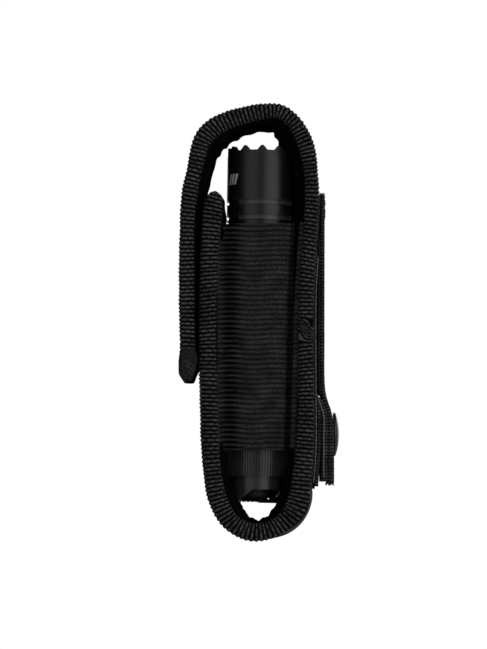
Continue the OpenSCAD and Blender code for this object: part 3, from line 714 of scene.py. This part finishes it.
WEB_W = (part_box("belt_strap_webbing")[1][1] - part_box("belt_strap_webbing")[0][1]) / MM
WEB_T = 1.6
OUTER_X = 0.9
LOOP_TOP, HINGE_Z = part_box("belt_strap_anchor")[1][2] / MM, 28.9
SNAP_Z, STRAP_END_Z = -51.5, -70.3
SWELL = 2.6
OUTER_WEB = [
    (OUTER_X + 0.8, LOOP_TOP, 0.8), (OUTER_X + 0.7, 20, 0.8), (OUTER_X + 0.6, -14, 0.8),
    (OUTER_X + 0.8, -34, 0.8), (OUTER_X + 0.8 + SWELL, SNAP_Z + 7.5, 0.8),
    (OUTER_X + 1.2 + SWELL, SNAP_Z, 1.1), (OUTER_X + 1.2 + SWELL, STRAP_END_Z, 1.2),
]
outer_web = Route(OUTER_WEB)


def web_strip(name, route, s0, s1, low, high, slot, carry, half_w=WEB_W / 2):
    """Flat webbing between two offsets of a route; its edges show the ends of its ribs."""
    s = np.arange(s0, s1 + 0.15, 0.3)
    s[-1] = s1
    x, z, half, nx, nz = route.at(s)
    rib = 0.4 * np.abs(np.sin(math.pi * s / WEB_RIB))[:, None]
    y = np.linspace(-half_w, half_w, 33)[None, :]
    round_off = 0.35 * np.clip((np.abs(y) - half_w + 0.7) / 0.7, 0, 1) ** 2
    cross = 0.10 * np.abs(np.sin(math.pi * (y / 1.9 + s[:, None] / 2.9)))
    top = (half * high[0] + high[1])[:, None] + cross - round_off
    bottom = (half * low[0] + low[1])[:, None] - cross + round_off
    edge = y * (1 + (rib - 0.2) / half_w * (np.abs(y) > half_w - 0.1))
    offset = np.hstack([top, bottom[:, ::-1]])
    ys = np.hstack([edge, edge[:, ::-1]])
    points = np.stack([x[:, None] + nx[:, None] * offset, ys, z[:, None] + nz[:, None] * offset], 2)
    across = np.concatenate([y[0], y[0][-1] + 1.6 + np.arange(33) * (2 * half_w / 32)])
    piece = loft(name, points, s, across)
    paint(piece, LOOKS[slot])
    carry(piece)
    return piece


web_bend = (at_height(outer_web, HINGE_Z + 3, False), at_height(outer_web, HINGE_Z - 3, False))


def swings(piece):
    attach(piece, "belt_strap")


def stays(piece):
    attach(piece, "pouch")


def bends(piece):
    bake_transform(piece)


full = ((-1, 0), (1, 0))
top_web = web_strip("belt_strap_top", outer_web, 0, web_bend[0], *full, "webbing", stays)
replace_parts(top_web, "belt_strap_anchor")
web_strip("belt_strap_fold", outer_web, *web_bend, *full, "webbing", bends)
lower_web = web_strip("belt_strap_lower", outer_web, web_bend[1], outer_web.length, *full,
                      "webbing", swings)
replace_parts(lower_web, "belt_strap_webbing")
tape = web_strip("belt_strap_hooks", outer_web, at_height(outer_web, HINGE_Z - 5, False),
                 at_height(outer_web, -36, False), (1, 0), (1, 0.9), "hook_tape", swings)
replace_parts(tape, "belt_strap_tape")
back_low, back_high = at_height(strap, -72), at_height(strap, LOOP_TOP)
backing = web_strip("belt_backing", strap, back_low, back_high, (1, -TAPE_T), (1, WEB_T - TAPE_T),
                    "webbing", stays)
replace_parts(backing, "belt_backing_webbing")
pile = web_strip("belt_backing_loops", strap, back_low, at_height(strap, HINGE_Z - 5),
                 (1, WEB_T - TAPE_T), (1, WEB_T - TAPE_T + 0.7), "loop_tape", stays)
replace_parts(pile, "belt_backing_tape")


def box_stitches():
    """A sewn box with a cross through both webbings."""
    z0, z1, y1 = HINGE_Z + 3.6, LOOP_TOP - 2, WEB_W / 2 - 3
    x = OUTER_X + WEB_T + 0.12
    lines = [((-y1, z0), (y1, z0)), ((y1, z0), (y1, z1)), ((y1, z1), (-y1, z1)),
             ((-y1, z1), (-y1, z0)), ((-y1, z0), (y1, z1)), ((-y1, z1), (y1, z0))]
    starts, ends = [], []
    for a, b in lines:
        a, b = np.array(a), np.array(b)
        count = int(np.linalg.norm(b - a) / 2.4)
        for i in range(count):
            p, q = a + (b - a) * i / count, a + (b - a) * (i + 0.75) / count
            starts.append((x, p[0], p[1]))
            ends.append((x, q[0], q[1]))
    piece = capsules("loop_stitches", starts, ends, 0.28)
    paint(piece, LOOKS["thread"])
    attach(piece, "pouch")
    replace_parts(piece, "anchor_stitching")


box_stitches()


def turned(name, section, slot, body):
    """A piece turned round the snap's own axis from (x, radius) points."""
    turn = np.radians(np.arange(0, 360, 4))
    a, b = np.array(section).T
    ys, zs = np.outer(np.cos(turn), b), np.outer(np.sin(turn), b) + SNAP_Z
    n, m = ys.shape
    points = np.stack([np.broadcast_to(a, ys.shape), ys, zs], axis=2).reshape(-1, 3)
    faces = [[i * m + j, i * m + (j + 1) % m, (i + 1) % n * m + (j + 1) % m, (i + 1) % n * m + j]
             for i in range(n) for j in range(m)]
    piece = mesh_piece(name, points, faces)
    outward(piece)
    paint(piece, LOOKS[slot])
    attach(piece, body)
    return piece


def snap_ring(name, x, thick, radius, hole, body):
    """A metal ring of the snap, with rounded outer edges."""
    r = 0.15
    turned(name, [(x, hole), (x, radius - r), (x + r, radius), (x + thick - r, radius),
                  (x + thick, radius - r), (x + thick, hole)], "snap_metal", body)


def snap_dome():
    """The snap's domed cap, with a rounded rim."""
    low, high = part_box("snap_cap")
    x0, x1, radius = low[0] / MM, high[0] / MM, (high[2] - low[2]) / 2 / MM
    rim = 0.9
    rise = x1 - x0 - rim
    sphere = (radius ** 2 + rise ** 2) / 2 / rise
    r = np.linspace(radius - 0.25, 0.02, 24)
    dome = x1 - sphere + np.sqrt(sphere ** 2 - r ** 2)
    section = [(x0, 0.02), (x0, radius - 0.3), (x0 + 0.3, radius),
               (x0 + rim - 0.2, radius), *zip(dome, r)]
    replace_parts(turned("snap_dome", section, "snap_paint", "belt_strap"), "snap_cap")


snap_dome()
snap_ring("stud_flange", 0.45, 0.5, 5.2, 2.2, "pouch")
snap_ring("socket_rim", 0.97, 0.4, 5.8, 2.9, "belt_strap")
# the strap's end is doubled for the snap, and so is the backing behind it
DOUBLED_Z = -38
web_strip("belt_strap_doubled", outer_web, at_height(outer_web, DOUBLED_Z, False),
          outer_web.length - 0.4, (1, 0), (1, 2.6), "webbing", swings)
web_strip("belt_backing_doubled", strap, at_height(strap, -71), at_height(strap, DOUBLED_Z + 1),
          (1, WEB_T - TAPE_T + 0.5), (1, WEB_T - TAPE_T + 2.0), "webbing", stays)
pale = plain("tape_edge", (0.22, 0.22, 0.21), 0.7)
for name, route, low, high, start, carry in (
        ("belt_strap_tape_edge", outer_web, -68, -36, 1.5, swings),
        ("belt_backing_tape_edge", strap, -70, 17, WEB_T - TAPE_T + 0.1, stays)):
    ends = sorted(at_height(route, z, route is strap) for z in (low, high))
    paint(web_strip(name, route, *ends, (1, start), (1, start + 0.22), "hook_tape", carry,
                    half_w=WEB_W / 2 + 0.15), pale)


def shell_edge():
    """The shell's turned edge outside the binding round the lower back corner, painted pale: painted
    sheen for the light it catches there.
    """
    s = np.arange(strap.mark(10.9), strap.mark(13.6), 0.5)
    rise = 1.5 * np.sin(np.linspace(0, math.pi, len(s)))[:, None] ** 0.5 - 0.2
    top = strap.at(s)[2][:, None] + rise
    bottom = top - 0.75
    w = HALF_W - BINDING_W + 2.4
    offset = np.hstack([top, top, bottom, bottom])
    piece = loft("shell_edge", on_strap(s, offset, np.array([[-w, w, w, -w]])), s,
                 [0, 2 * w, 2 * w + 1, 4 * w + 1])
    # painted sheen: the edge is coloured paler than the cordura shell it belongs to
    paint(piece, plain("shell_edge", (0.085, 0.085, 0.08), 0.7))
    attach(piece, "pouch")


shell_edge()


def frayed(name, x_range, z, down, body, count=70):
    """Loose yarn ends at a cut end of webbing."""
    x = random.uniform(*x_range, count)
    y = random.uniform(-WEB_W / 2, WEB_W / 2, count)
    start = np.stack([x, y, np.full(count, z)], axis=1)
    length = random.uniform(0.5, 1.5, count)
    lean = random.uniform(-0.8, 0.8, (count, 2))
    end = start + np.stack([lean[:, 0] * length, lean[:, 1] * length,
                            (-1 if down else 1) * length], axis=1)
    piece = capsules(name, start, end, 0.11, 4)
    paint(piece, LOOKS["thread"])
    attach(piece, body)


frayed("frayed_top", (OUTER_X, OUTER_X + WEB_T), LOOP_TOP - 0.3, False, "pouch")
frayed("frayed_end", (OUTER_X + SWELL, OUTER_X + SWELL + 2.4), STRAP_END_Z + 0.3, True, "belt_strap")

# --- flashlight mark --------------------------------------------------------------------------


def head_mark():
    """Three plain slanted bars in pale ink on the head, facing the flap side."""
    radius, thick, mark_z = 13.5, 0.05, 47.2
    middle, height, pitch, bar, slant = math.radians(-146), 4.2, 1.9, 1.1, 1.3
    vertices, faces = [], []
    for i in (-1, 0, 1):
        base = len(vertices)
        for k in range(7):
            t = k / 6
            for edge in (-0.5, 0.5):
                arc = middle + (i * pitch + edge * bar + slant * (t - 0.5)) / radius
                for r in (radius - 0.05, radius + thick):
                    x, y, z = r * math.cos(arc), r * math.sin(arc), mark_z + height * (t - 0.5)
                    vertices.append((AXIS_X + x * math.cos(LEAN) + z * math.sin(LEAN), y,
                                     z * math.cos(LEAN) - x * math.sin(LEAN)))
        ring = [0, 1, 3, 2]
        for k in range(6):
            for a, b in zip(ring, ring[1:] + ring[:1]):
                faces.append([base + 4 * k + a, base + 4 * k + b,
                              base + 4 * k + 4 + b, base + 4 * k + 4 + a])
        faces.append([base + a for a in ring][::-1])
        faces.append([base + 24 + a for a in ring])
    piece = mesh_piece("head_mark", vertices, faces, smooth_faces=False)
    outward(piece)
    paint(piece, plain("pale_ink", (0.62, 0.62, 0.6), 0.6, spread=0.08))
    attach(piece, "light")


head_mark()

# --- floor, light and camera ------------------------------------------------------------------

CAMERA_AWAY, CAMERA_Z, AIM_Z, VIEW_X = 1000, -70, -9.4, -28.9
VIEW_HEIGHT = 249.9                     # what the picture's height takes in at the near binding
SCALE_Y = -12


def floor():
    size = 4000
    z = BEND_Z - 45
    piece = mesh_piece("floor", [(-size, -size, z), (size, -size, z), (size, size, z),
                                 (-size, size, z)], [[0, 1, 2, 3]], smooth_faces=False)
    look = Look("floor", (0.9, 0.9, 0.9), 0.8)
    shown = look.node("ShaderNodeLightPath").outputs["Is Camera Ray"]
    glow = look.node("ShaderNodeEmission", {"Color": (1, 1, 1, 1), "Strength": 1.0})
    mix = look.node("ShaderNodeMixShader", {0: shown, 1: look.shader.outputs[0],
                                           2: glow.outputs[0]})
    output = look.tree.nodes["Material Output"]
    look.tree.links.new(mix.outputs[0], output.inputs["Surface"])
    piece.data.materials.append(look.material)


def world():
    light = bpy.data.worlds.new("studio")
    light.use_nodes = True
    scene.world = light
    tree = light.node_tree
    room = tree.nodes["Background"]
    room.inputs["Color"].default_value = (1, 1, 1, 1)
    room.inputs["Strength"].default_value = 0.03
    seen = tree.nodes.new("ShaderNodeBackground")
    seen.inputs["Color"].default_value = (1, 1, 1, 1)
    seen.inputs["Strength"].default_value = 1.0
    path = tree.nodes.new("ShaderNodeLightPath")
    mix = tree.nodes.new("ShaderNodeMixShader")
    tree.links.new(path.outputs["Is Camera Ray"], mix.inputs[0])
    tree.links.new(room.outputs[0], mix.inputs[1])
    tree.links.new(seen.outputs[0], mix.inputs[2])
    tree.links.new(mix.outputs[0], tree.nodes["World Output"].inputs["Surface"])


def softbox(name, azimuth, elevation, size, radiance):
    """A soft panel that faces the pouch from a direction; azimuth is from -Y towards +X."""
    lamp = bpy.data.lights.new(name, "AREA")
    lamp.shape = "RECTANGLE"
    lamp.size, lamp.size_y = (v * MM for v in size)
    lamp.energy = radiance * math.pi * lamp.size * lamp.size_y
    holder = bpy.data.objects.new(name, lamp)
    scene.collection.objects.link(holder)
    a, e = math.radians(azimuth), math.radians(elevation)
    way = Vector((math.sin(a) * math.cos(e), -math.cos(a) * math.cos(e), math.sin(e)))
    holder.location = (Vector((BEND_X, 0, 0)) + way * 750) * MM
    holder.rotation_euler = (-way).to_track_quat("-Z", "Y").to_euler()


def camera():
    lens = bpy.data.cameras.new("camera")
    lens.sensor_fit = "AUTO"
    lens.sensor_width = 36
    lens.lens = 36 * CAMERA_AWAY / VIEW_HEIGHT
    holder = bpy.data.objects.new("camera", lens)
    scene.collection.objects.link(holder)
    place = Vector((VIEW_X, SCALE_Y - CAMERA_AWAY, CAMERA_Z))
    holder.location = place * MM
    aim = Vector((VIEW_X, SCALE_Y, AIM_Z))
    holder.rotation_euler = (aim - place).to_track_quat("-Z", "Y").to_euler()
    scene.camera = holder


floor()
world()
softbox("key", 36, 15, (660, 800), 1.2)
softbox("key_side", 84, 12, (560, 800), 0.95)
softbox("fill", -34, 10, (620, 800), 0.6)
softbox("top", 0, 75, (500, 400), 0.5)
softbox("back", 178, 20, (700, 700), 0.6)
camera()
scene.view_settings.view_transform = "Standard"
